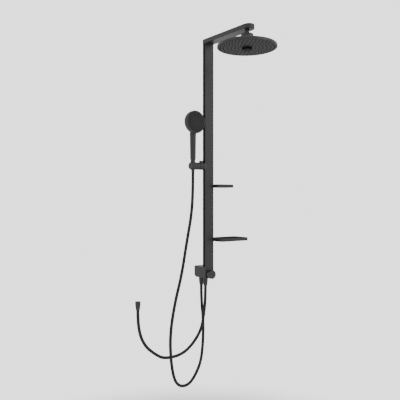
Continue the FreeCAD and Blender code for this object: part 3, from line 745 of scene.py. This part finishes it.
def grow_nozzles(name, points, nozzle, mat):
    """Run the tree on a cloud of points and keep the result as a plain mesh."""
    cloud = bpy.data.meshes.new(name + "_points")
    cloud.from_pydata([tuple(p) for p in points], [], [])
    holder = new_object(name + "_points", cloud)
    grown = run_tree(name, NOZZLES, holder, {
        "Nozzle": nozzle, "Mat": mat, "Nozzle scale": 1.0, "Rubber": finishes["dark_rubber"]})
    for spare in (nozzle, mat):
        bpy.data.objects.remove(spare)
    shade(grown)
    print(name, "has", len(points), "nozzles")
    return grown


def rings(table):
    """(across, up) places in millimetres for each (radius, count) ring."""
    return [(radius * math.cos(2 * math.pi * i / count), radius * math.sin(2 * math.pi * i / count))
            for radius, count in table for i in range(count)]


# %% [markdown]
# A nozzle has a broad foot, a tapered body, a rounded lip and a hole down its middle. The hole
# matters: it gives each nozzle its dark dot.

# %% Head nozzles
HEAD_RINGS = [(38, 14), (54, 20), (70, 26), (86, 32), (102, 38), (117, 44)]
NOZZLE_SIDES, MAT_PLAY = 12, 0.1 * MM
HEAD_MAT_DEPTH, HANDSET_MAT_DEPTH = 2.4 * MM, 2.2 * MM
mat_low, mat_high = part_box("head_nozzle_mat")
plate_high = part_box("head_face_plate")[1]
head_x, head_y = (mat_low.x + mat_high.x) / 2, (mat_low.y + mat_high.y) / 2


def nozzle_outline(root, tip, lip, depth, height):
    """Foot at height 0, tip at height, with a bore of the given depth."""
    return [(0, 0), (root, 0), (tip * 1.15, height * 0.6), (tip, height * 0.93),
            (tip * 0.85, height), (lip, height), (lip, height - depth), (0, height - depth)]


def mat_outline(radius, depth):
    return [(0, 0), (radius, 0), (radius, depth), (0, depth)]


head_foot = plate_high.z + MAT_PLAY
head_reach = (head_foot - mat_low.z) / MM
nozzle = turned("nozzle", in_metres(nozzle_outline(2.5, 1.7, 0.7, 1.8, head_reach)),
                (0, 0, 0), (0, 0, -1), NOZZLE_SIDES)
mat = turned("mat", mat_outline(mat_high.x, HEAD_MAT_DEPTH),
             (head_x, head_y, head_foot), (0, 0, 1), 96)
head_nozzles = grow_nozzles(
    "head_nozzles",
    [(head_x + x * MM, head_y + y * MM, head_foot) for x, y in rings(HEAD_RINGS)], nozzle, mat)
finish_piece(head_nozzles, "head", ["head_nozzle_mat"])

# %% Handset nozzles
HANDSET_RINGS = [(28, 18), (35, 24), (42, 30)]
mat_low, mat_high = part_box("handset_nozzle_mat")
disc_low, disc_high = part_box("handset_face_plate")
disc_x, disc_z = (disc_low.x + disc_high.x) / 2, (disc_low.z + disc_high.z) / 2
handset_foot = disc_high.y + MAT_PLAY
nozzle = turned(
    "nozzle", in_metres(nozzle_outline(1.1, 0.85, 0.4, 1.2, (handset_foot - mat_low.y) / MM)),
    (0, 0, 0), (0, -1, 0), NOZZLE_SIDES)
mat_radius = (mat_high.x - mat_low.x) / 2
mat = turned("mat", mat_outline(mat_radius, HANDSET_MAT_DEPTH),
             (disc_x, handset_foot, disc_z), (0, 1, 0), 64)
handset_nozzles = grow_nozzles(
    "handset_nozzles",
    [(disc_x + x * MM, handset_foot, disc_z + z * MM) for x, z in rings(HANDSET_RINGS)],
    nozzle, mat)
finish_piece(handset_nozzles, "handset", ["handset_nozzle_mat"])

# %% [markdown]
# ## The floor and the light
# A plain pale floor well below, an even surround and one large soft box give the picture its
# calm grey reflections. The surround does most of the work, because satin black is seen mainly
# by what it mirrors. Where the camera looks straight at it, it is brighter, so that the backdrop
# comes out pale. A much brighter one would eat into the edges of the thin hoses. The floor is a
# disc that turns clear towards its rim, so that it melts into the backdrop.

# %% Floor
FLOOR_DROP, FLOOR_RADIUS, FLOOR_FADE, FLOOR_SIDES = 0.55, 1.6, 0.7, 96
floor_z = cad_box[0].z - FLOOR_DROP
angles = [2 * math.pi * k / FLOOR_SIDES for k in range(FLOOR_SIDES)]
rim = [(FLOOR_RADIUS * math.cos(a), FLOOR_RADIUS * math.sin(a), floor_z) for a in angles]
floor = mesh_object("floor", rim, [tuple(range(FLOOR_SIDES))])
pale = Finish("pale_floor")
spread = pale.node("ShaderNodeVectorMath", {"operation": "LENGTH"},
                   {0: pale.node("ShaderNodeVectorMath", {"operation": "MULTIPLY"},
                                 {0: pale.place, 1: (1, 1, 0)})}, "Value")
edge = pale.node("ShaderNodeMapRange", {"interpolation_type": "SMOOTHSTEP"}, {
    "Value": spread, "From Min": FLOOR_RADIUS - FLOOR_FADE, "From Max": FLOOR_RADIUS,
    "To Min": 1.0, "To Max": 0.0})
pale.set(base_color=pale.shades(pale.noise(1.5), grey(0.88), grey(0.92)), roughness=0.8,
         alpha=edge)
floor.data.materials.append(pale.material)
print("floor at height", round(floor_z, 3))

# %% Surround and soft box
LIT, SEEN_WHITE = 0.9, 2.2


def surround():
    """An even light all round, brighter only where the camera looks straight at it."""
    world = bpy.data.worlds.new("surround")
    world.use_nodes = True
    tree = world.node_tree
    path, choice = tree.nodes.new("ShaderNodeLightPath"), tree.nodes.new("ShaderNodeMix")
    behind = tree.nodes["Background"]
    behind.inputs["Color"].default_value = (1, 1, 1, 1)
    choice.inputs["A"].default_value = LIT
    choice.inputs["B"].default_value = SEEN_WHITE
    tree.links.new(path.outputs["Is Camera Ray"], choice.inputs["Factor"])
    tree.links.new(choice.outputs["Result"], behind.inputs["Strength"])
    return world


bpy.context.scene.world = surround()

BOX_AT, BOX_TOWARDS, BOX_SIZE, BOX_WATTS = Vector((0.9, -2.6, 1.6)), Vector((0, 0, 0.5)), 1.4, 8
lamp = bpy.data.lights.new("front_box", "AREA")
lamp.size, lamp.energy = BOX_SIZE, BOX_WATTS
front_box = bpy.data.objects.new("front_box", lamp)
bpy.context.scene.collection.objects.link(front_box)
front_box.location = BOX_AT
front_box.rotation_euler = (BOX_TOWARDS - BOX_AT).to_track_quat("-Z", "Y").to_euler()
print("surround", LIT, "seen as", SEEN_WHITE, "and a soft box of", BOX_WATTS, "W")
